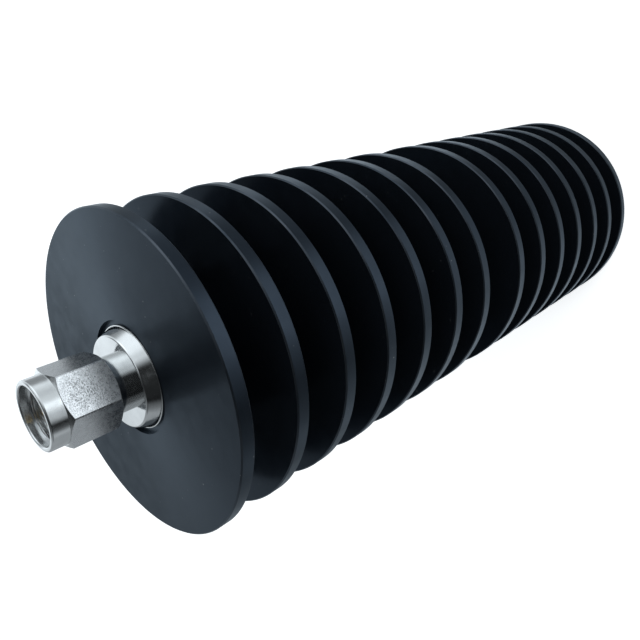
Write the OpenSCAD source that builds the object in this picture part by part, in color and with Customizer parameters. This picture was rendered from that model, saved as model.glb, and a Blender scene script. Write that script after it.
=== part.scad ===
// Coaxial dummy load: a turned, finned heat sink with a captive-nut plug at its front end.
// It stands on its rear face. The axis is +Z, towards the plug, and the origin is the rear face's centre.
// Sizes are in millimetres.

/* [Heat sink] */
// Diameter over the fins
fin_d = 38.1; // [32:0.1:50]
// Diameter of the solid core between the fins
core_d = 16; // [15:0.1:22]
// Thickness of one fin
fin_t = 1.7; // [1:0.05:2.5]
// Distance from one fin to the next
fin_pitch = 7.425; // [6:0.025:9]
// Fins in each of the two banks
fins_per_bank = 7; // [6:1:9]
// Width of the broad groove between the two banks
bank_gap = 9.1; // [6:0.1:14]
// Bevel that breaks each fin's sharp edges
edge_break = 0.15; // [0.05:0.05:0.45]
// Diameter of the blind bore for the load
bore_d = 10; // [9:0.1:11]
// Depth of the round seat that is sunk in the front face
seat_depth = 0.5; // [0.2:0.05:1]
// Open ring between the flange and the wall of its seat
seat_gap = 0.65; // [0.1:0.05:1]

/* [Plug body] */
// Diameter of the flange's rear lip
flange_d = 12.2; // [11.6:0.1:13]
// Diameter of the flange's front edge
flange_front_d = 10.8; // [9:0.1:11.2]
// Thickness of the flange, lip included
flange_t = 1.8; // [1.4:0.1:3]
// Thickness of the lip
lip_t = 0.3; // [0.15:0.05:0.5]
// Height of the step from the lip to the flange's taper
lip_step = 0.12; // [0.05:0.01:0.2]
// Bevel on the flange's front edge and on the neck's shoulder
body_bevel = 0.12; // [0.05:0.01:0.2]
// Diameter of the neck behind the nut
neck_d = 6.56; // [6.2:0.02:7.2]
// Length of the neck
neck_l = 1.7; // [1:0.1:3]
// Diameter of the shank that the nut turns on
shank_d = 5.36; // [5.2:0.02:5.44]
// Length of the shank
shank_l = 3.25; // [3:0.05:3.4]
// Outer diameter of the ferrule, the plug's outer contact
ferrule_d = 4.59; // [4.5:0.01:4.65]
// Length of the ferrule in front of the shank
ferrule_l = 1.2; // [0.9:0.05:1.35]
// Length of the spigot that is pressed into the heat sink
spigot_l = 6; // [4.5:0.1:8]

/* [Coupling nut] */
// Width across the nut's flats
nut_af = 7.94; // [7.8:0.01:8.2]
// Length of the nut
nut_l = 7.6; // [7.4:0.1:9]
// Diameter of the round collar at the nut's mouth
collar_d = 7.75; // [7.3:0.05:7.8]
// Length of the collar
collar_l = 1.9; // [1.4:0.1:2.6]
// Bevel on the collar's outer edge
collar_bevel = 0.15; // [0.05:0.01:0.2]
// Slope of the bevels on the hexagon's corners, from the end faces
corner_slope = 30; // [15:1:40]
// Minor diameter of the thread
thread_d = 5.66; // [5.6:0.01:5.74]
// Diameter of the lead-in at the nut's mouth
mouth_d = 6.6; // [6.4:0.05:6.8]
// Length of the lead-in, its bevel included
mouth_l = 0.9; // [0.6:0.05:0.95]
// Bevel at the rim of the lead-in
mouth_bevel = 0.1; // [0.05:0.01:0.15]
// Diameter of the relief behind the thread
relief_d = 6.5; // [6.4:0.02:6.7]
// Length of the relief
relief_l = 1.1; // [0.9:0.05:1.3]
// Distance from the shank's shoulder to the nut's rear face
nut_play = 0.1; // [0.05:0.01:0.15]

/* [Retaining ring and gasket] */
// Distance from the nut's rear face to the ring
ring_place = 1.2; // [1:0.05:1.3]
// Thickness of the split ring that holds the nut
ring_t = 0.65; // [0.5:0.05:0.7]
// Inner diameter of the ring
ring_inner_d = 4.75; // [4.7:0.05:4.9]
// Outer diameter of the ring
ring_outer_d = 6; // [5.9:0.02:6.06]
// Width of the split in the ring
ring_split = 0.9; // [0.4:0.1:1.5]
// Thickness of the gasket around the ferrule
gasket_t = 0.7; // [0.4:0.05:0.75]
// Width of the gasket's ring, from its hole to its edge
gasket_w = 0.7; // [0.45:0.05:0.75]

/* [Contact and insulators] */
// Diameter of the contact's free pin
pin_d = 0.914; // [0.9:0.002:0.94]
// Length of the free pin in front of the ferrule
pin_l = 2.25; // [1.8:0.05:2.3]
// Length of the pin's tapered tip
tip_l = 0.35; // [0.2:0.05:0.5]
// Diameter of the tip's flat end
tip_d = 0.4; // [0.2:0.05:0.6]
// Diameter of the contact inside the plug
contact_d = 1.27; // [1.2:0.01:1.34]
// Diameter of the contact's tail
tail_d = 0.8; // [0.6:0.05:1]
// Length of the tail behind the spigot
tail_l = 3; // [2.4:0.1:4]
// Diameter of the front insulator and of the rear bead
insulator_d = 4.1; // [3.9:0.02:4.16]
// Length of the front insulator
insulator_l = 6.4; // [5:0.1:8]
// Thickness of the rear bead
bead_t = 2; // [1:0.1:3]
// Diameter of the open line between the two insulators
line_d = 2.92; // [2.6:0.02:3.2]

/* [Load element] */
// Length of the two-part carrier
carrier_l = 50; // [48:1:54]
// Width of the resistor card
card_w = 6; // [4:0.1:6.6]
// Length of the resistor card
card_l = 32; // [24:1:33]
// Thickness of the resistor card
card_t = 0.635; // [0.4:0.005:1]
// Distance from the carrier's front end to the card
card_setback = 1.5; // [0.8:0.1:2]
// Width of the strip from the contact to the card
tab_w = 2; // [1:0.1:3]
// Thickness of that strip
tab_t = 0.1; // [0.06:0.01:0.2]
// Length of that strip
tab_l = 4; // [3:0.1:6]
// Height of the cavity over the card, above the axis
cavity_h = 1.6; // [1:0.1:2]
// Screws that close the carrier
screws = 2; // [1:1:2]
// Diameter of the screws
screw_d = 2; // [1.6:0.1:2.2]
// Length of a screw's shank
screw_l = 5; // [4.5:0.1:5.4]
// Diameter of a screw's head
screw_head_d = 3.8; // [3.2:0.1:4.2]
// Height of a screw's head
screw_head_h = 1.3; // [1:0.1:1.6]
// Width across the flats of the screw's socket
socket_af = 1.5; // [1:0.1:1.6]
// Depth of the screw's socket
socket_h = 0.7; // [0.4:0.1:0.8]
// Height of the screw heads' seats above the axis
screw_seat = 1.6; // [1.2:0.1:1.8]

/* [Fits] */
// Radial clearance between the nut and the shank
running_clear = 0.08; // [0.03:0.01:0.09]
// Clearance on each side of the ring in its grooves
ring_clear = 0.12; // [0.08:0.01:0.14]
// Radial clearance of pieces that are pressed or soldered together
seat_clear = 0.01; // [0:0.005:0.02]
// Clearance around the card, and around screw heads
loose_clear = 0.15; // [0.05:0.01:0.25]

/* [Hidden] */

// Roundness of turned faces, and the small overlap of a cutting tool past a face
$fn = 96;
past = 1;

// Radii
fin_r = fin_d / 2;
core_r = core_d / 2;
shank_r = shank_d / 2;
ferrule_r = ferrule_d / 2;
contact_r = contact_d / 2;
tail_r = tail_d / 2;
insulator_r = insulator_d / 2;
nut_bore_r = shank_r + running_clear;
flat_r = nut_af / 2;
corner_r = flat_r / cos(30);
carrier_r = bore_d / 2 - seat_clear;

// The heat sink: the rear bank counts up from the rear face, the front bank down from the front face
bank_l = (fins_per_bank - 1) * fin_pitch + fin_t;
face_z = 2 * bank_l + bank_gap;
fin_z = [
  for (bank_z = [0, bank_l + bank_gap])
    for (i = [0:fins_per_bank - 1]) bank_z + i * fin_pitch
];

// Levels along the axis, from the carrier up to the nut's mouth
seat_z = face_z - seat_depth;
flange_z = seat_z + flange_t;
shoulder_z = flange_z + neck_l;
shank_z = shoulder_z + shank_l;
ferrule_z = shank_z + ferrule_l;
spigot_z = seat_z - spigot_l;
carrier_z = spigot_z - carrier_l;
insulator_z = ferrule_z - insulator_l;
bead_z = spigot_z + bead_t;
nut_z = shoulder_z + nut_play;
mouth_z = nut_z + nut_l;
hex_z = mouth_z - collar_l;
ring_z = nut_z + ring_place;
relief_z = shank_z - ring_clear;

// The card lies under the contact's tail, and the carrier is split level with the card's underside
tab_y = -tail_r - tab_t - seat_clear;
card_y = tab_y - card_t;
split_y = card_y;
card_z = spigot_z - card_setback;
cavity_l = card_setback + card_l + loose_clear;
screw_pitch = (carrier_l - cavity_l) / (screws + 1);

// Outline of one fin with its bevelled edges, rear edge first
function fin_outline(z) = [
  [fin_r - edge_break, z],
  [fin_r, z + edge_break],
  [fin_r, z + fin_t - edge_break],
  [fin_r - edge_break, z + fin_t]
];

// Outline of all fins, going in to the core between each two
function finned_outline() = [
  for (i = [0:len(fin_z) - 1]) each concat(
    i > 0 ? [[core_r, fin_z[i]]] : [],
    fin_outline(fin_z[i]),
    i < len(fin_z) - 1 ? [[core_r, fin_z[i] + fin_t]] : []
  )
];

// Solid of revolution from a list of [radius, height] points
module turned(points) {
  rotate_extrude() polygon(points);
}

// Ring from one height to another
module ring(inner_r, outer_r, low_z, high_z) {
  turned([[inner_r, low_z], [outer_r, low_z], [outer_r, high_z], [inner_r, high_z]]);
}

// Rod that stands up along Y from a point on the axis
module upright_rod(d, z, low_y, high_y) {
  translate([0, low_y, z]) rotate([-90, 0, 0]) cylinder(d = d, h = high_y - low_y);
}

// Block that runs along the axis and is centred on X
module bar(w, low_y, high_y, low_z, high_z) {
  translate([-w / 2, low_y, low_z]) cube([w, high_y - low_y, high_z - low_z]);
}

// Children repeated at each screw's height on the axis
module at_screws() {
  for (i = [1:screws]) translate([0, 0, carrier_z + i * screw_pitch]) children();
}

// One-piece heat sink, turned from bar and bored from the front
module heat_sink() {
  color([0.07, 0.07, 0.08]) difference() {
    turned(concat([[0, 0]], finned_outline(), [[0, face_z]]));
    translate([0, 0, carrier_z]) cylinder(d = bore_d, h = face_z - carrier_z + past);
    translate([0, 0, seat_z]) cylinder(d = flange_d + 2 * seat_gap, h = seat_depth + past);
  }
}

// Turned plug body: spigot, lipped flange, neck, shank with a ring groove, and ferrule
module plug_body() {
  flange_r = flange_d / 2;
  front_r = flange_front_d / 2;
  neck_r = neck_d / 2;
  line_r = line_d / 2;
  housing_r = insulator_r + seat_clear;
  ring_groove_r = ring_inner_d / 2 - ring_clear;
  color([0.78, 0.77, 0.74]) turned([
    [housing_r, spigot_z],
    [carrier_r, spigot_z],
    [carrier_r, seat_z],
    [flange_r, seat_z],
    [flange_r, seat_z + lip_t],
    [flange_r - lip_step, seat_z + lip_t],
    [front_r, flange_z - body_bevel],
    [front_r - body_bevel, flange_z],
    [neck_r, flange_z],
    [neck_r, shoulder_z - body_bevel],
    [neck_r - body_bevel, shoulder_z],
    [shank_r, shoulder_z],
    [shank_r, ring_z - ring_clear],
    [ring_groove_r, ring_z - ring_clear],
    [ring_groove_r, ring_z + ring_t + ring_clear],
    [shank_r, ring_z + ring_t + ring_clear],
    [shank_r, shank_z],
    [ferrule_r, shank_z],
    [ferrule_r, ferrule_z],
    [housing_r, ferrule_z],
    [housing_r, insulator_z],
    [line_r, insulator_z],
    [line_r, bead_z],
    [housing_r, bead_z]
  ]);
}

// Hexagon with both ends' corners bevelled, and the round collar in front of it
module nut_blank() {
  bevel_h = (corner_r - flat_r) * tan(corner_slope);
  collar_r = collar_d / 2;
  intersection() {
    translate([0, 0, nut_z]) cylinder(r = corner_r, h = hex_z - nut_z, $fn = 6);
    turned([
      [0, nut_z],
      [flat_r, nut_z],
      [corner_r, nut_z + bevel_h],
      [corner_r, hex_z - bevel_h],
      [flat_r, hex_z],
      [0, hex_z]
    ]);
  }
  turned([
    [0, hex_z - past],
    [collar_r, hex_z - past],
    [collar_r, mouth_z - collar_bevel],
    [collar_r - collar_bevel, mouth_z],
    [0, mouth_z]
  ]);
}

// Captive nut: rear bore, groove for the ring, relief, plain thread bore and lead-in
module coupling_nut() {
  thread_r = thread_d / 2;
  mouth_r = mouth_d / 2;
  relief_r = relief_d / 2;
  ring_groove_r = ring_outer_d / 2 + ring_clear;
  color([0.72, 0.72, 0.71]) difference() {
    nut_blank();
    turned([
      [0, nut_z - past],
      [nut_bore_r, nut_z - past],
      [nut_bore_r, ring_z - ring_clear],
      [ring_groove_r, ring_z - ring_clear],
      [ring_groove_r, ring_z + ring_t + ring_clear],
      [nut_bore_r, ring_z + ring_t + ring_clear],
      [nut_bore_r, relief_z],
      [relief_r, relief_z],
      [relief_r, relief_z + relief_l],
      [thread_r, relief_z + relief_l],
      [thread_r, mouth_z - mouth_l],
      [mouth_r, mouth_z - mouth_l],
      [mouth_r, mouth_z - mouth_bevel],
      [mouth_r + mouth_bevel, mouth_z],
      [mouth_r + mouth_bevel, mouth_z + past],
      [0, mouth_z + past]
    ]);
  }
}

// Split ring in the facing grooves of shank and nut
module retaining_ring() {
  color([0.62, 0.6, 0.55]) difference() {
    ring(ring_inner_d / 2, ring_outer_d / 2, ring_z, ring_z + ring_t);
    translate([0, -ring_split / 2, ring_z - past]) cube([ring_outer_d, ring_split, ring_t + 2 * past]);
  }
}

// Sealing gasket on the shank's front shoulder, around the ferrule
module gasket() {
  inner_r = ferrule_r + seat_clear;
  color([0.75, 0.22, 0.12]) ring(inner_r, inner_r + gasket_w, shank_z, shank_z + gasket_t);
}

// Contact in one piece: tapered pin, thick middle and the tail that is soldered to the strip
module centre_contact() {
  pin_r = pin_d / 2;
  color([0.83, 0.66, 0.32]) turned([
    [0, spigot_z - tail_l],
    [tail_r, spigot_z - tail_l],
    [tail_r, spigot_z],
    [contact_r, spigot_z],
    [contact_r, ferrule_z],
    [pin_r, ferrule_z],
    [pin_r, ferrule_z + pin_l - tip_l],
    [tip_d / 2, ferrule_z + pin_l],
    [0, ferrule_z + pin_l]
  ]);
}

// Front insulator, level with the ferrule's end
module front_insulator() {
  color([0.93, 0.93, 0.9]) ring(contact_r + seat_clear, insulator_r, insulator_z, ferrule_z);
}

// Bead that centres the contact at the spigot's rear end
module rear_bead() {
  color([0.9, 0.88, 0.8]) ring(contact_r + seat_clear, insulator_r, spigot_z, bead_z);
}

// Round bar as long as the carrier, in the heat sink's bore
module carrier_bar() {
  translate([0, 0, carrier_z]) cylinder(r = carrier_r, h = carrier_l);
}

// Lower part of the carrier, with the flat that the card is soldered to and the tapped holes
module load_carrier() {
  color([0.72, 0.45, 0.3]) difference() {
    carrier_bar();
    bar(bore_d, split_y, bore_d, carrier_z - past, spigot_z + past);
    at_screws() upright_rod(screw_d + 2 * seat_clear, 0, screw_seat - screw_l, past);
  }
}

// Upper part of the carrier, with the cavity over the card and the screws' sunk seats
module carrier_cap() {
  color([0.68, 0.43, 0.3]) difference() {
    carrier_bar();
    bar(bore_d, -bore_d, split_y, carrier_z - past, spigot_z + past);
    bar(card_w + 2 * loose_clear, split_y - past, cavity_h, spigot_z - cavity_l, spigot_z + past);
    at_screws() {
      upright_rod(screw_d + 2 * seat_clear, 0, split_y - past, bore_d);
      upright_rod(screw_head_d + 2 * loose_clear, 0, screw_seat, bore_d);
    }
  }
}

// Ceramic card with the film resistor on its upper face
module resistor_card() {
  color([0.9, 0.89, 0.85]) bar(card_w, card_y, card_y + card_t, card_z - card_l, card_z);
}

// Thin strip from the contact's tail to the film
module input_strip() {
  color([0.85, 0.7, 0.35]) bar(tab_w, tab_y, tab_y + tab_t, card_z - tab_l, card_z);
}

// Socket-head screws that close the carrier
module carrier_screws() {
  socket_r = socket_af / 2 / cos(30);
  color([0.3, 0.3, 0.31]) at_screws() difference() {
    union() {
      upright_rod(screw_d, 0, screw_seat - screw_l, screw_seat + screw_head_h / 2);
      upright_rod(screw_head_d, 0, screw_seat, screw_seat + screw_head_h);
    }
    translate([0, screw_seat + screw_head_h - socket_h, 0]) rotate([-90, 0, 0])
      cylinder(r = socket_r, h = socket_h + past, $fn = 6);
  }
}

heat_sink();
plug_body();
coupling_nut();
retaining_ring();
gasket();
centre_contact();
front_insulator();
rear_bead();
load_carrier();
carrier_cap();
resistor_card();
input_strip();
carrier_screws();
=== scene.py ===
"""Looks of a coaxial dummy load: a black finned heat sink with a stainless captive-nut plug.

Lengths are in millimetres and are turned into metres where a mesh is made. The axis is +Z, towards the plug.
"""
import math

import bpy
from mathutils import Matrix, Vector

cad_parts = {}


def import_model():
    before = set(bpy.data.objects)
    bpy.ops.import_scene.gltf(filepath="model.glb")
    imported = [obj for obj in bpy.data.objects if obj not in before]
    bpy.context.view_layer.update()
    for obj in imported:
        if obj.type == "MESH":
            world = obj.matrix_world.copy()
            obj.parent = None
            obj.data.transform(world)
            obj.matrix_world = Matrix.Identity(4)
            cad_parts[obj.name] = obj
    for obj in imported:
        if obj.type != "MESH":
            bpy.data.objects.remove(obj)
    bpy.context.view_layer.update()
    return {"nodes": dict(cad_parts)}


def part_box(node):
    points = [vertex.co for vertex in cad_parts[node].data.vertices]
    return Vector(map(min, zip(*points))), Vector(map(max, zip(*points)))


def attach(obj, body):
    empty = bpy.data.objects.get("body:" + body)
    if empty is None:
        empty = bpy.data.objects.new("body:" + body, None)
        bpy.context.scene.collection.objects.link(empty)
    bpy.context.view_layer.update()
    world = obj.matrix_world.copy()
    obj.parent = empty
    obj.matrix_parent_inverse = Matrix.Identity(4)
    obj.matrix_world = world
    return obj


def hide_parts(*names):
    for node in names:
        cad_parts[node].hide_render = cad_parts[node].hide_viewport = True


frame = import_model()

MM = 0.001

# Levels and radii that the frame gives
SINK_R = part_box("heat_sink")[1].x / MM
FACE_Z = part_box("heat_sink")[1].z / MM
SPIGOT_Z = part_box("plug_body")[0].z / MM
FERRULE_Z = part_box("plug_body")[1].z / MM
FLANGE_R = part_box("plug_body")[1].x / MM
NUT_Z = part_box("coupling_nut")[0].z / MM
MOUTH_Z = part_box("coupling_nut")[1].z / MM
FLAT_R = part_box("coupling_nut")[1].y / MM
TAIL_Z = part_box("centre_contact")[0].z / MM
TIP_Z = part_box("centre_contact")[1].z / MM
CONTACT_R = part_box("centre_contact")[1].x / MM
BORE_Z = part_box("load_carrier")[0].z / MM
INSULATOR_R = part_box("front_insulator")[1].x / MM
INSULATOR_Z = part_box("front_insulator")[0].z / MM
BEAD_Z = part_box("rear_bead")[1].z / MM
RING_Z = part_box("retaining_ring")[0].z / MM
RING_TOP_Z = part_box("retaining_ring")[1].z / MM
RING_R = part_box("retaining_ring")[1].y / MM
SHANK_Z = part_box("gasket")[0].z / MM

# Heat sink
FIN_T = 1.7
FIN_PITCH = 7.425
FINS_PER_BANK = 7
CORE_R = 8.0
EDGE_BREAK = 0.15
BORE_R = 5.0
SEAT_DEPTH = 0.5
SEAT_R = 6.75

# Plug body
SPIGOT_R = 4.99
FLANGE_T = 1.8
FLANGE_FRONT_R = 5.4
LIP_T = 0.3
LIP_STEP = 0.12
BODY_BEVEL = 0.12
BODY_ROUNDING = 0.07
NECK_R = 3.28
NECK_L = 1.7
SHANK_R = 2.68
RING_CLEAR = 0.12
RING_GROOVE_R = 2.255
FERRULE_R = 2.295
FIT_CLEAR = 0.01
HOUSING_R = INSULATOR_R + FIT_CLEAR
LINE_R = 1.46

# Coupling nut
COLLAR_R = 3.875
COLLAR_L = 1.9
COLLAR_BEVEL = 0.15
COLLAR_ROUNDING = 0.06
CORNER_SLOPE = math.radians(30)
CORNER_INSET = 0.03
EDGE_ANGLE = math.radians(29)
NUT_BORE_R = 2.76
RELIEF_R = 3.25
RELIEF_L = 1.1
THREAD_R = 2.83
THREAD_DEPTH = 0.32
THREAD_PITCH = 25.4 / 36
THREAD_STEEPNESS = 1.4
THREAD_FLAT = 0.2
MOUTH_R = 3.3
MOUTH_L = 0.9
MOUTH_BEVEL = 0.1

# Centre contact
PIN_R = 0.457
TIP_L = 0.35
TIP_R = 0.2
TAIL_R = 0.4
CONTACT_ROUNDING = 0.1

# Camera of the photograph, in degrees and millimetres
CAMERA_AXIS_DISTANCE = 64.7
CAMERA_OVER_FACE = 28.86
CAMERA_POLAR = -97.32
SIGHT_POLAR = 85.05
SIGHT_ELEVATION = -42.14
SIGHT_ROLL = -113.85
LENS = 34.13
SENSOR = 36

# Room: its colour, and its level where it lights the part
ROOM_COLOUR = (0.87, 0.945, 1.0)
ROOM_AMBIENT = 0.55

# Sides of the room that differ from level 1 in reflections. Dim sides come first and multiply, bright ones add.
# Each has its direction to the camera's right, up and back, half-angles of middle and edge in degrees, level, and
# whether it is bright.
ROOM_SIDES = [
    ((0.47, -0.33, 0.79), 34, 60, 0.02, False),
    ((0.92, -0.36, 0.13), 14, 36, 0.24, False),
    ((0.08, -0.92, 0.38), 10, 30, 0.3, False),
    ((0.97, -0.21, 0.10), 5, 18, 0.3, False),
    ((0.77, 0.56, -0.28), 8, 24, 0.34, False),
    ((-0.13, -0.88, -0.44), 40, 62, 0.42, False),
    ((-0.42, 0.77, -0.48), 8, 30, 0.35, False),
    ((-0.57, -0.50, 0.65), 15, 38, 0.1, False),
    ((0.36, 0.91, -0.12), 8, 28, 0.3, False),
    ((-0.92, -0.16, 0.36), 26, 48, 0.03, False),
    ((0.85, 0.20, 0.49), 12, 38, 0.7, True),
    ((0.85, 0.48, 0.18), 8, 26, 1.0, True),
    ((-0.30, 0.86, 0.38), 12, 35, 0.4, True),
    ((-0.84, -0.14, -0.52), 10, 32, 0.33, True),
    ((-0.78, 0.42, 0.46), 10, 30, 0.9, True),
    ((0.90, -0.33, -0.30), 5, 16, 0.1, True),
    ((0.88, -0.08, -0.47), 6, 20, 0.28, True),
    ((0.34, 0.62, -0.71), 6, 22, 0.45, True),
]

# Floor and lamp, in millimetres and watts
FLOOR_SIZE = 6000
FLOOR_GLOW = 0.6
LAMP_DIRECTION = (0.35, -0.5, 0.8)
LAMP_DISTANCE = 900
LAMP_SIZE = 600
LAMP_POWER = 3

# Colours of stainless steel: turned, in the pits of the nut's skin, between them, and inside the nut, darker there as
# painted shade
STEEL_LOW = (0.62, 0.63, 0.63)
STEEL_HIGH = (0.71, 0.72, 0.72)
STEEL_GRAIN = (0.27, 0.275, 0.28)
STEEL_FLAT = (0.68, 0.69, 0.70)
# Inside the nut the steel is darker: painted shade for the bore, where little light gets in
STEEL_INNER_PAINTED_SHADE = (0.54, 0.55, 0.56)

# Roughness of stainless steel: on the plug, on the nut where it is turned, and on the nut's flats
PLUG_ROUGH = 0.1
TURNED_ROUGH = 0.2
FLAT_ROUGH = 0.26

# Colours of black anodised aluminium: its skin, the fins' bevels made lighter as wear and as a painted highlight, and
# dust
BLACK_SKIN = (0.0200, 0.0270, 0.0370), (0.0240, 0.0320, 0.0435)
# Bevel colours: partly edge wear, partly a painted highlight that stands in for light caught by the bevels
BLACK_EDGE_WEAR_AND_HIGHLIGHT = (0.0280, 0.0360, 0.0460), (0.0700, 0.0800, 0.0940)
DUST = (0.2, 0.2, 0.2)

# Roughness of black anodised aluminium: in general, and on the sides of the fins that face each other
BLACK_ROUGH = 0.31
BLACK_SIDE_ROUGH = 0.2

# Places on the nut's flats where the skin is most mottled: the flat's direction in degrees, height, and radius
GRAIN_PLACES = [
    (270, 108.2, 3.2),
    (330, 106.0, 2.4),
    (30, 108.0, 2.8),
    (90, 106.4, 3.0),
    (150, 108.6, 2.6),
    (210, 105.6, 1.4),
]

# Segments around the axis, rows of the thread, and the angle from which an edge is sharp
SINK_SEGMENTS = 360
PLUG_SEGMENTS = 192
NUT_SEGMENTS = 360
CONTACT_SEGMENTS = 96
THREAD_ROWS_PER_TURN = 24
SHARP_ANGLE = math.radians(28.5)

# Roundings: steps of an arc, lead beside it as a share of its cut, most of a side that a cut takes, and least cut
ARC_STEPS = 4
ARC_LEAD = 0.2
ROUNDING_SHARE = 0.4
LEAST_ROUNDING = 0.004

# Limits on the Z part of a face's normal, and margins beside other limits, for the choice of its material
WALL_NORMAL = 0.1
BEVEL_NORMAL = 0.3
FLAT_NORMAL = 0.9
FIN_MARGIN = 0.1
COLLAR_MARGIN = 0.3
NUT_MARGIN = 0.01

# Places of the colour sockets on a mix node, and the turn of the gloss that lies across the tool marks
MIX_FIRST, MIX_SECOND, MIX_RESULT = 6, 7, 2
QUARTER_TURN = 0.25


def rounded(points, radius, closed=True, sharp=()):
    """The outline with each corner that has room for it turned into an arc of about that radius.

    Corners in sharp stay. A point close to each end of an arc keeps the sides next to it flat where the shading is
    smooth.
    """
    out = []
    count = len(points)
    for i, (r, z) in enumerate(points):
        corner = Vector((r, z))
        before = Vector(points[i - 1]) - corner
        after = Vector(points[(i + 1) % count]) - corner
        cut = min(radius, ROUNDING_SHARE * before.length, ROUNDING_SHARE * after.length)
        is_end = not closed and i in (0, count - 1)
        if is_end or r == 0 or cut < LEAST_ROUNDING or (r, z) in sharp:
            out.append((r, z))
            continue
        start = corner + before.normalized() * cut
        end = corner + after.normalized() * cut
        arc = [start + before.normalized() * ARC_LEAD * cut]
        for s in range(ARC_STEPS + 1):
            t = s / ARC_STEPS
            arc.append(start * (1 - t) ** 2 + corner * 2 * t * (1 - t) + end * t ** 2)
        arc.append(end + after.normalized() * ARC_LEAD * cut)
        out += [tuple(point) for point in arc]
    return out


def mesh_object(name, vertices, faces):
    """New object from points in millimetres, smooth apart from its sharp edges."""
    mesh = bpy.data.meshes.new(name)
    mesh.from_pydata([(x * MM, y * MM, z * MM) for x, y, z in vertices], [], faces)
    mesh.validate()
    mesh.shade_smooth()
    mesh.set_sharp_from_angle(angle=SHARP_ANGLE)
    obj = bpy.data.objects.new(name, mesh)
    bpy.context.scene.collection.objects.link(obj)
    return obj


def stacked(name, rows):
    """Closed surface through rows of points that go around the axis; the last row joins the first.

    A row of one point is a pole on the axis, and a surface that starts and ends at poles isn't joined there.
    """
    vertices = []
    starts = []
    for row in rows:
        starts.append(len(vertices))
        vertices.extend(row)
    faces = []
    for i, row in enumerate(rows):
        k = (i + 1) % len(rows)
        n, m = len(row), len(rows[k])
        a, b = starts[i], starts[k]
        if n == 1 and m == 1:
            continue
        for j in range(max(n, m)):
            q = (j + 1) % max(n, m)
            if n == 1:
                faces.append((a, b + q, b + j))
            elif m == 1:
                faces.append((a + j, a + q, b))
            else:
                faces.append((a + j, a + q, b + q, b + j))
    return mesh_object(name, vertices, faces)


def around(radius, z, segments):
    """Row of points around the axis; radius and z are numbers or functions of the angle."""
    if radius == 0:
        return [(0, 0, z)]
    row = []
    for j in range(segments):
        angle = 2 * math.pi * j / segments
        r = radius(angle) if callable(radius) else radius
        height = z(angle) if callable(z) else z
        row.append((r * math.cos(angle), r * math.sin(angle), height))
    return row


def lathe(name, outline, segments):
    """Solid around the axis from a closed, anticlockwise outline of radii and heights; see around for their kinds."""
    return stacked(name, [around(r, z, segments) for r, z in outline])


def heat_sink():
    """One turned piece: two banks of fins on a core, with the sunk seat and the blind bore in front."""
    bank_l = (FINS_PER_BANK - 1) * FIN_PITCH + FIN_T
    starts = [bank + i * FIN_PITCH for bank in (0, FACE_Z - bank_l) for i in range(FINS_PER_BANK)]
    outline = [(0, 0)]
    for i, z in enumerate(starts):
        if i > 0:
            outline.append((CORE_R, z))
        outline += [
            (SINK_R - EDGE_BREAK, z),
            (SINK_R, z + EDGE_BREAK),
            (SINK_R, z + FIN_T - EDGE_BREAK),
            (SINK_R - EDGE_BREAK, z + FIN_T),
        ]
        if i < len(starts) - 1:
            outline.append((CORE_R, z + FIN_T))
    outline += [
        (SEAT_R, FACE_Z),
        (SEAT_R, FACE_Z - SEAT_DEPTH),
        (BORE_R, FACE_Z - SEAT_DEPTH),
        (BORE_R, BORE_Z),
        (0, BORE_Z),
    ]
    return lathe("heat_sink_turned", outline, SINK_SEGMENTS)


def plug_body():
    """Turned body with its lipped flange, neck, shank and ferrule."""
    seat_z = FACE_Z - SEAT_DEPTH
    flange_z = seat_z + FLANGE_T
    shoulder_z = flange_z + NECK_L
    outline = [
        (HOUSING_R, SPIGOT_Z),
        (SPIGOT_R, SPIGOT_Z),
        (SPIGOT_R, seat_z),
        (FLANGE_R, seat_z),
        (FLANGE_R, seat_z + LIP_T),
        (FLANGE_R - LIP_STEP, seat_z + LIP_T),
        (FLANGE_FRONT_R, flange_z - BODY_BEVEL),
        (FLANGE_FRONT_R - BODY_BEVEL, flange_z),
        (NECK_R, flange_z),
        (NECK_R, shoulder_z - BODY_BEVEL),
        (NECK_R - BODY_BEVEL, shoulder_z),
        (SHANK_R, shoulder_z),
        (SHANK_R, RING_Z - RING_CLEAR),
        (RING_GROOVE_R, RING_Z - RING_CLEAR),
        (RING_GROOVE_R, RING_TOP_Z + RING_CLEAR),
        (SHANK_R, RING_TOP_Z + RING_CLEAR),
        (SHANK_R, SHANK_Z),
        (FERRULE_R, SHANK_Z),
        (FERRULE_R, FERRULE_Z),
        (HOUSING_R, FERRULE_Z),
        (HOUSING_R, INSULATOR_Z),
        (LINE_R, INSULATOR_Z),
        (LINE_R, BEAD_Z),
        (HOUSING_R, BEAD_Z),
    ]
    neck_foot = (NECK_R, flange_z)
    return lathe("plug_body_turned", rounded(outline, BODY_ROUNDING, sharp=[neck_foot]), PLUG_SEGMENTS)


def hexagon(angle):
    """Distance from the axis to the hexagon's side in that direction. Its corners are broken, and one is on +X."""
    sixth = math.pi / 3
    turn = abs((angle % sixth) - sixth / 2)
    return FLAT_R / math.cos(min(turn, EDGE_ANGLE))


def thread_radius(angle, z):
    """Inner thread's wall: a ridge every pitch, right-handed, with flat crests and roots."""
    turn = (z / THREAD_PITCH - angle / (2 * math.pi)) % 1
    slope = abs(2 * turn - 1) * THREAD_STEEPNESS - THREAD_FLAT
    return THREAD_R + THREAD_DEPTH * min(1, max(0, slope))


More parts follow.
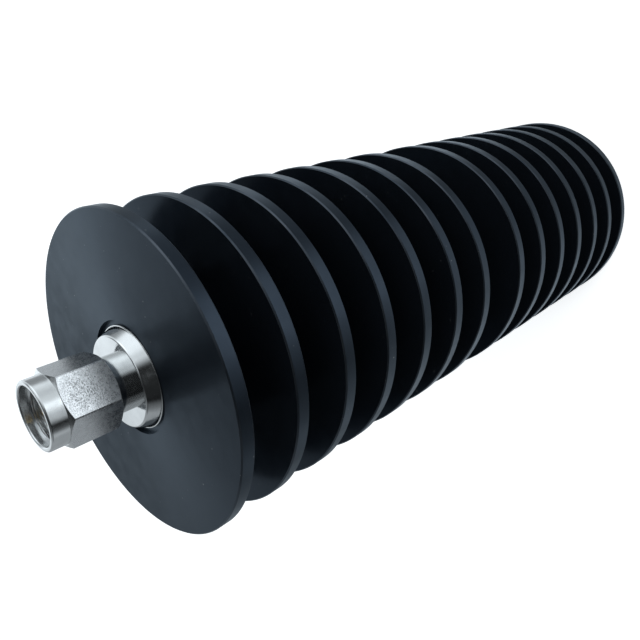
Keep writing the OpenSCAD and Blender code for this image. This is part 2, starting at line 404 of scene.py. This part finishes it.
def coupling_nut():
    """Hexagon with bevelled corners and a round collar, threaded inside."""
    end_r = FLAT_R - CORNER_INSET
    hex_z = MOUTH_Z - COLLAR_L
    relief_z = SHANK_Z - RING_CLEAR
    thread_z = relief_z + RELIEF_L
    lead_z = MOUTH_Z - MOUTH_L
    groove_r = RING_R + RING_CLEAR

    def bevel(angle):
        return (hexagon(angle) - end_r) * math.tan(CORNER_SLOPE)

    hexagon_part = [
        (NUT_BORE_R, NUT_Z),
        (end_r, NUT_Z),
        (hexagon, lambda angle: NUT_Z + bevel(angle)),
        (hexagon, lambda angle: hex_z - bevel(angle)),
        (end_r, hex_z),
    ]
    collar = rounded([
        (COLLAR_R, hex_z),
        (COLLAR_R, MOUTH_Z - COLLAR_BEVEL),
        (COLLAR_R - COLLAR_BEVEL, MOUTH_Z),
        (MOUTH_R + MOUTH_BEVEL, MOUTH_Z),
        (MOUTH_R, MOUTH_Z - MOUTH_BEVEL),
        (MOUTH_R, lead_z),
    ], COLLAR_ROUNDING, closed=False)
    thread = []
    thread_rows = round((lead_z - thread_z) / THREAD_PITCH * THREAD_ROWS_PER_TURN)
    for i in range(thread_rows + 1):
        z = lead_z + (thread_z - lead_z) * i / thread_rows
        thread.append((lambda angle, z=z: thread_radius(angle, z), z))
    bore = [
        (RELIEF_R, thread_z),
        (RELIEF_R, relief_z),
        (NUT_BORE_R, relief_z),
        (NUT_BORE_R, RING_TOP_Z + RING_CLEAR),
        (groove_r, RING_TOP_Z + RING_CLEAR),
        (groove_r, RING_Z - RING_CLEAR),
        (NUT_BORE_R, RING_Z - RING_CLEAR),
    ]
    return lathe("coupling_nut_machined", hexagon_part + collar + thread + bore, NUT_SEGMENTS)


def centre_contact():
    """Contact with its rounded pin in front and its tail behind."""
    outline = [
        (0, TAIL_Z),
        (TAIL_R, TAIL_Z),
        (TAIL_R, SPIGOT_Z),
        (CONTACT_R, SPIGOT_Z),
        (CONTACT_R, FERRULE_Z),
        (PIN_R, FERRULE_Z),
        (PIN_R, TIP_Z - TIP_L),
        (TIP_R, TIP_Z),
        (0, TIP_Z),
    ]
    return lathe("centre_contact_turned", rounded(outline, CONTACT_ROUNDING), CONTACT_SEGMENTS)


class Shader:
    """Node tree of a material with a Principled surface, and short ways to add nodes to it."""

    def __init__(self, name):
        self.material = bpy.data.materials.new(name)
        self.material.use_nodes = True
        self.tree = self.material.node_tree
        self.surface = self.tree.nodes["Principled BSDF"]
        self.place = self.add("ShaderNodeTexCoord").outputs["Object"]

    def add(self, kind, **settings):
        node = self.tree.nodes.new(kind)
        for key, value in settings.items():
            setattr(node, key, value)
        return node

    def link(self, source, target):
        self.tree.links.new(source, target)

    def set(self, **values):
        for key, value in values.items():
            self.surface.inputs[key.replace("_", " ")].default_value = value

    def math(self, operation, a, b):
        node = self.add("ShaderNodeMath", operation=operation)
        for socket, value in zip(node.inputs, (a, b)):
            if isinstance(value, (int, float)):
                socket.default_value = value
            else:
                self.link(value, socket)
        return node.outputs[0]

    def noise(self, scale, detail=4.0, roughness=0.55):
        """Noise with about so many grains in a millimetre."""
        node = self.add("ShaderNodeTexNoise")
        node.inputs["Scale"].default_value = scale / MM
        node.inputs["Detail"].default_value = detail
        node.inputs["Roughness"].default_value = roughness
        self.link(self.place, node.inputs["Vector"])
        return node.outputs["Fac"]

    def turning(self, lines_per_mm):
        """Fine tool marks: rings on flat faces and lines around curved ones, uneven along their depth."""
        axes = self.add("ShaderNodeSeparateXYZ")
        self.link(self.place, axes.inputs[0])
        x_square = self.math("MULTIPLY", axes.outputs["X"], axes.outputs["X"])
        y_square = self.math("MULTIPLY", axes.outputs["Y"], axes.outputs["Y"])
        radius = self.math("SQRT", self.math("ADD", x_square, y_square), 0.0)
        depth = self.math("ADD", radius, axes.outputs["Z"])
        marks = self.add("ShaderNodeTexNoise", noise_dimensions="1D")
        marks.inputs["Scale"].default_value = lines_per_mm / MM
        marks.inputs["Detail"].default_value = 3.0
        self.link(depth, marks.inputs["W"])
        return marks.outputs["Fac"]

    def streaked(self, amount):
        """Gloss that is drawn out across the tool marks, as on every turned surface."""
        tangent = self.add("ShaderNodeTangent", direction_type="RADIAL", axis="Z")
        self.link(tangent.outputs[0], self.surface.inputs["Tangent"])
        self.set(Anisotropic=amount, Anisotropic_Rotation=QUARTER_TURN)

    def spread(self, value, low, high, low_in=0.3, high_in=0.7):
        """Value mapped to a range, by default from the middle of a noise."""
        node = self.add("ShaderNodeMapRange")
        self.link(value, node.inputs["Value"])
        for socket, number in zip(list(node.inputs)[1:5], (low_in, high_in, low, high)):
            socket.default_value = number
        return node.outputs["Result"]

    def colours(self, value, low, high, low_in=0.3, high_in=0.7):
        """Colour that goes from low to high with the value."""
        ramp = self.add("ShaderNodeValToRGB")
        ramp.color_ramp.elements[0].position = low_in
        ramp.color_ramp.elements[0].color = (*low, 1)
        ramp.color_ramp.elements[1].position = high_in
        ramp.color_ramp.elements[1].color = (*high, 1)
        self.link(value, ramp.inputs["Fac"])
        return ramp.outputs["Color"]

    def bump(self, height, depth_mm, strength, onto=None):
        """Bump of about that depth, on top of another bump if one is given."""
        node = self.add("ShaderNodeBump")
        node.inputs["Strength"].default_value = strength
        node.inputs["Distance"].default_value = depth_mm * MM
        self.link(height, node.inputs["Height"])
        if onto is not None:
            self.link(onto, node.inputs["Normal"])
        return node.outputs["Normal"]


def black_anodised(name, low, high, rough=BLACK_ROUGH):
    """Black anodised aluminium: bluish, half-gloss, with fine turning marks and a little dust."""
    s = Shader(name)
    skin = s.colours(s.noise(0.15), low, high)
    dust = s.spread(s.noise(3.0, detail=0), 0.0, 1.0, low_in=0.86, high_in=0.89)
    mix = s.add("ShaderNodeMix", data_type="RGBA")
    s.link(dust, mix.inputs["Factor"])
    s.link(skin, mix.inputs[MIX_FIRST])
    mix.inputs[MIX_SECOND].default_value = (*DUST, 1)
    s.link(mix.outputs[MIX_RESULT], s.surface.inputs["Base Color"])
    s.link(s.spread(s.noise(0.5), rough - 0.03, rough + 0.03), s.surface.inputs["Roughness"])
    marks = s.bump(s.turning(lines_per_mm=6), depth_mm=0.004, strength=0.3)
    skin_bump = s.bump(s.noise(14, detail=2), depth_mm=0.003, strength=0.3, onto=marks)
    s.link(skin_bump, s.surface.inputs["Normal"])
    s.set(Metallic=0.85, IOR=1.36, Specular_Tint=(0.88, 0.945, 1, 1))
    s.streaked(0.88)
    return s.material


def turned_steel(name, rough, low=STEEL_LOW, high=STEEL_HIGH):
    """Stainless steel as it leaves the lathe."""
    s = Shader(name)
    s.link(s.colours(s.noise(0.5), low, high), s.surface.inputs["Base Color"])
    s.link(s.spread(s.noise(2.0), rough - 0.03, rough + 0.05), s.surface.inputs["Roughness"])
    marks = s.bump(s.turning(lines_per_mm=9), depth_mm=0.003, strength=0.4)
    skin_bump = s.bump(s.noise(9.0, detail=2), depth_mm=0.002, strength=0.4, onto=marks)
    s.link(skin_bump, s.surface.inputs["Normal"])
    s.set(Metallic=1.0)
    s.streaked(0.8)
    return s.material


def grained_steel(name, rough):
    """Stainless bar stock that keeps its mottled skin, as on the nut's flats."""
    s = Shader(name)
    mottled = None
    for angle, z, radius in GRAIN_PLACES:
        turn = math.radians(angle)
        middle = Vector((FLAT_R * math.cos(turn), FLAT_R * math.sin(turn), z)) * MM
        away = s.add("ShaderNodeVectorMath", operation="DISTANCE")
        away.inputs[1].default_value = middle
        s.link(s.place, away.inputs[0])
        near = s.spread(away.outputs["Value"], 1.0, 0.12, low_in=0.35 * radius * MM, high_in=radius * MM)
        mottled = near if mottled is None else s.math("MAXIMUM", mottled, near)
    pits = s.spread(s.noise(7.0, detail=1, roughness=0.5), 1.0, 0.0, low_in=0.36, high_in=0.52)
    grain = s.math("SUBTRACT", 1.0, s.math("MULTIPLY", pits, mottled))
    colour = s.colours(grain, STEEL_GRAIN, STEEL_FLAT, low_in=0.0, high_in=1.0)
    s.link(colour, s.surface.inputs["Base Color"])
    s.link(s.spread(s.noise(2.0), rough - 0.04, rough + 0.08), s.surface.inputs["Roughness"])
    s.link(s.bump(grain, depth_mm=0.008, strength=0.5), s.surface.inputs["Normal"])
    s.set(Metallic=1.0)
    return s.material


def metal(name, low, high, rough):
    """Plain machined metal with faint marks."""
    s = Shader(name)
    s.link(s.colours(s.noise(0.8), low, high), s.surface.inputs["Base Color"])
    s.link(s.spread(s.noise(3.0), rough - 0.04, rough + 0.06), s.surface.inputs["Roughness"])
    marks = s.bump(s.turning(lines_per_mm=8), depth_mm=0.004, strength=0.4)
    s.link(marks, s.surface.inputs["Normal"])
    s.set(Metallic=1.0)
    return s.material


def dull(name, low, high, rough, grain=2.0):
    """Plastic, rubber or ceramic: no metal, a soft mottle and a fine skin."""
    s = Shader(name)
    s.link(s.colours(s.noise(grain / 3), low, high), s.surface.inputs["Base Color"])
    s.link(s.spread(s.noise(grain), rough - 0.05, rough + 0.05), s.surface.inputs["Roughness"])
    skin_bump = s.bump(s.noise(grain * 4, detail=2), depth_mm=0.004, strength=0.4)
    s.link(skin_bump, s.surface.inputs["Normal"])
    return s.material


def dress(obj, material, slot, body, *nodes):
    """Gives a piece its material, its body and the nodes that it stands for. Its slot is not used."""
    obj.data.materials.clear()
    obj.data.materials.append(material)
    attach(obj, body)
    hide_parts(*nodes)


def finish_node(node, material):
    """Gives a CAD node that stays its material."""
    slots = frame["nodes"][node].data.materials
    slots.clear()
    slots.append(material)


def finish_sink(sink):
    """Skin on the heat sink's bevels made lighter, as wear and as a painted highlight along the fins' edges, and a
    smoother one on the sides of the fins that face each other.
    """
    # Lighter bevels: worn edges, and a painted highlight along each fin's edge
    sink.data.materials.append(black_anodised("black_edge_wear_and_highlight", *BLACK_EDGE_WEAR_AND_HIGHLIGHT))
    sink.data.materials.append(black_anodised("black_side", *BLACK_SKIN, BLACK_SIDE_ROUGH))
    for face in sink.data.polygons:
        upright = abs(face.normal.z)
        height = face.center.z / MM
        if BEVEL_NORMAL < upright < FLAT_NORMAL:
            face.material_index = 1
        elif upright > FLAT_NORMAL and FIN_MARGIN < height < FACE_Z - SEAT_DEPTH - FIN_MARGIN:
            face.material_index = 2


def finish_nut(nut):
    """Turned steel on the nut's collar and ends, and a darker one inside as painted shade in the bore. The flats keep
    the first material.
    """
    nut.data.materials.append(turned_steel("turned_stainless", TURNED_ROUGH))
    # Darker steel in the bore and thread: painted shade
    nut.data.materials.append(turned_steel("inner_stainless_painted_shade", TURNED_ROUGH, STEEL_INNER_PAINTED_SHADE, STEEL_LOW))
    for face in nut.data.polygons:
        centre = face.center / MM
        radius = math.hypot(centre.x, centre.y)
        if abs(face.normal.z) < WALL_NORMAL and radius > FLAT_R - NUT_MARGIN:
            face.material_index = 0
        elif radius < COLLAR_R - COLLAR_MARGIN and NUT_Z + NUT_MARGIN < centre.z < MOUTH_Z - MOUTH_L:
            face.material_index = 2
        else:
            face.material_index = 1


def camera():
    """Camera of the photograph, which looks down along the part and is rolled so that the part seems to lie.

    Its forward, right and up directions are given back.
    """
    polar = math.radians(CAMERA_POLAR)
    place = Vector((
        CAMERA_AXIS_DISTANCE * math.cos(polar),
        CAMERA_AXIS_DISTANCE * math.sin(polar),
        FACE_Z + CAMERA_OVER_FACE,
    )) * MM
    sight, rise, roll = (math.radians(a) for a in (SIGHT_POLAR, SIGHT_ELEVATION, SIGHT_ROLL))
    forward = Vector((
        math.cos(rise) * math.cos(sight),
        math.cos(rise) * math.sin(sight),
        math.sin(rise),
    ))
    level = forward.cross(Vector((0, 0, 1))).normalized()
    upright = level.cross(forward)
    right = level * math.cos(roll) + upright * math.sin(roll)
    up = right.cross(forward)
    data = bpy.data.cameras.new("camera")
    data.lens = LENS
    data.sensor_width = SENSOR
    data.clip_start = MM
    obj = bpy.data.objects.new("camera", data)
    turn = Matrix((right, up, -forward)).transposed().to_4x4()
    obj.matrix_world = Matrix.Translation(place) @ turn
    bpy.context.scene.collection.objects.link(obj)
    bpy.context.scene.camera = obj
    return forward, right, up


def ray_kinds(tree):
    """Two outputs: 1 for what the camera sees straight, and 1 for what it sees in a reflection or through glass."""
    path = tree.nodes.new("ShaderNodeLightPath")
    either = tree.nodes.new("ShaderNodeMath")
    either.operation = "MAXIMUM"
    tree.links.new(path.outputs["Is Glossy Ray"], either.inputs[0])
    tree.links.new(path.outputs["Is Transmission Ray"], either.inputs[1])
    return path.outputs["Is Camera Ray"], either.outputs[0]


def room(tree, direction, sides):
    """Brightness of the room in a direction, as it shows in reflections.

    It is 1, times the level of each dim side, plus the level of each bright one. A side has an axis, the half-angles
    of its middle and of its edge, a level, and whether it is bright. The first side is dim.
    """
    total = None
    for axis, middle, edge, level, bright in sides:
        towards = tree.nodes.new("ShaderNodeVectorMath")
        towards.operation = "DOT_PRODUCT"
        towards.inputs[1].default_value = axis.normalized()
        tree.links.new(direction, towards.inputs[0])
        fade = tree.nodes.new("ShaderNodeMapRange")
        fade.interpolation_type = "SMOOTHSTEP"
        tree.links.new(towards.outputs["Value"], fade.inputs["Value"])
        fade.inputs["From Min"].default_value = math.cos(math.radians(edge))
        fade.inputs["From Max"].default_value = math.cos(math.radians(middle))
        fade.inputs["To Min"].default_value = 0.0 if bright else 1.0
        fade.inputs["To Max"].default_value = level
        if total is None:
            total = fade.outputs["Result"]
            continue
        join = tree.nodes.new("ShaderNodeMath")
        join.operation = "ADD" if bright else "MULTIPLY"
        tree.links.new(total, join.inputs[0])
        tree.links.new(fade.outputs["Result"], join.inputs[1])
        total = join.outputs[0]
    return total


def mixed(tree, factor, first, second):
    """Output of a shader that goes from the first to the second."""
    node = tree.nodes.new("ShaderNodeMixShader")
    tree.links.new(factor, node.inputs["Fac"])
    tree.links.new(first, node.inputs[1])
    tree.links.new(second, node.inputs[2])
    return node.outputs[0]


def world(ambient, sides):
    """White room that lights the part at a plain level, with sides that differ in reflections."""
    scene_world = bpy.data.worlds.new("world")
    bpy.context.scene.world = scene_world
    scene_world.use_nodes = True
    tree = scene_world.node_tree
    white, lit, mirrored = (tree.nodes.new("ShaderNodeBackground") for _ in range(3))
    white.inputs["Color"].default_value = (1, 1, 1, 1)
    lit.inputs["Color"].default_value = (*ROOM_COLOUR, 1)
    lit.inputs["Strength"].default_value = ambient
    mirrored.inputs["Color"].default_value = (*ROOM_COLOUR, 1)
    direction = tree.nodes.new("ShaderNodeTexCoord").outputs["Generated"]
    tree.links.new(room(tree, direction, sides), mirrored.inputs["Strength"])
    camera_ray, mirror_ray = ray_kinds(tree)
    seen = mixed(tree, mirror_ray, lit.outputs[0], mirrored.outputs[0])
    seen = mixed(tree, camera_ray, seen, white.outputs[0])
    tree.links.new(seen, tree.nodes["World Output"].inputs["Surface"])
    tree.nodes.remove(tree.nodes["Background"])


def floor(size_mm, glow, sides):
    """White floor at the part's foot. Part of its white is its own glow, so that it keeps a soft shadow."""
    half = size_mm / 2
    corners = [(-half, -half, 0), (half, -half, 0), (half, half, 0), (-half, half, 0)]
    obj = mesh_object("floor", corners, [(0, 1, 2, 3)])
    s = Shader("floor")
    s.set(Base_Color=(0.9, 0.9, 0.9, 1), Roughness=0.9, Emission_Color=(1, 1, 1, 1))
    camera_ray, mirror_ray = ray_kinds(s.tree)
    s.link(s.math("MULTIPLY", camera_ray, glow), s.surface.inputs["Emission Strength"])
    away = s.add("ShaderNodeVectorMath", operation="SUBTRACT")
    away.inputs[1].default_value = (0, 0, FACE_Z * MM)
    s.link(s.place, away.inputs[0])
    direction = s.add("ShaderNodeVectorMath", operation="NORMALIZE")
    s.link(away.outputs["Vector"], direction.inputs[0])
    mirrored = s.add("ShaderNodeEmission")
    mirrored.inputs["Color"].default_value = (*ROOM_COLOUR, 1)
    s.link(room(s.tree, direction.outputs["Vector"], sides), mirrored.inputs["Strength"])
    s.material.cycles.emission_sampling = "NONE"
    seen = mixed(s.tree, mirror_ray, s.surface.outputs[0], mirrored.outputs[0])
    s.link(seen, s.tree.nodes["Material Output"].inputs["Surface"])
    obj.data.materials.append(s.material)


def lamp(name, direction, distance_mm, size_mm, watts):
    """Soft square lamp that points at the part."""
    data = bpy.data.lights.new(name, "AREA")
    data.size = size_mm * MM
    data.energy = watts
    obj = bpy.data.objects.new(name, data)
    aim = Vector((0, 0, FACE_Z / 2)) * MM
    obj.location = aim + direction.normalized() * distance_mm * MM
    obj.rotation_euler = direction.to_track_quat("Z", "Y").to_euler()
    obj.visible_glossy = False
    bpy.context.scene.collection.objects.link(obj)


# Pieces that replace CAD nodes
sink = heat_sink()
dress(sink, black_anodised("black_anodised", *BLACK_SKIN), "black_anodised", "load", "heat_sink")
finish_sink(sink)
dress(plug_body(), turned_steel("polished_stainless", PLUG_ROUGH), "polished_stainless", "load", "plug_body")
nut = coupling_nut()
dress(nut, grained_steel("satin_stainless", FLAT_ROUGH), "satin_stainless", "nut", "coupling_nut")
finish_nut(nut)
gold = metal("gold_plate", (0.66, 0.49, 0.25), (0.76, 0.58, 0.32), 0.22)
dress(centre_contact(), gold, "gold_plate", "load", "centre_contact")

# CAD nodes that stay, with their own materials
copper = metal("copper", (0.55, 0.25, 0.14), (0.66, 0.32, 0.19), 0.35)
insulator = dull("white_insulator", (0.80, 0.80, 0.76), (0.87, 0.87, 0.84), 0.45)
bronze = metal("spring_bronze", (0.48, 0.36, 0.20), (0.58, 0.45, 0.27), 0.32)
silicone = dull("silicone", (0.42, 0.05, 0.02), (0.52, 0.08, 0.035), 0.6)
ceramic = dull("ceramic", (0.76, 0.75, 0.70), (0.84, 0.83, 0.79), 0.5, grain=4.0)
screw_steel = metal("screw_steel", (0.18, 0.18, 0.19), (0.26, 0.26, 0.27), 0.4)
for node, material in [
    ("retaining_ring", bronze),
    ("gasket", silicone),
    ("front_insulator", insulator),
    ("rear_bead", insulator),
    ("load_carrier", copper),
    ("carrier_cap", copper),
    ("resistor_card", ceramic),
    ("input_strip", gold),
    ("carrier_screws", screw_steel),
]:
    finish_node(node, material)

# Camera, light and floor
bpy.context.scene.view_settings.view_transform = "Standard"
forward, right, up = camera()
sides = [
    (right * x + up * y - forward * z, middle, edge, level, bright)
    for (x, y, z), middle, edge, level, bright in ROOM_SIDES
]
world(ROOM_AMBIENT, sides)
floor(FLOOR_SIZE, FLOOR_GLOW, sides)
lamp("key", Vector(LAMP_DIRECTION), LAMP_DISTANCE, LAMP_SIZE, LAMP_POWER)
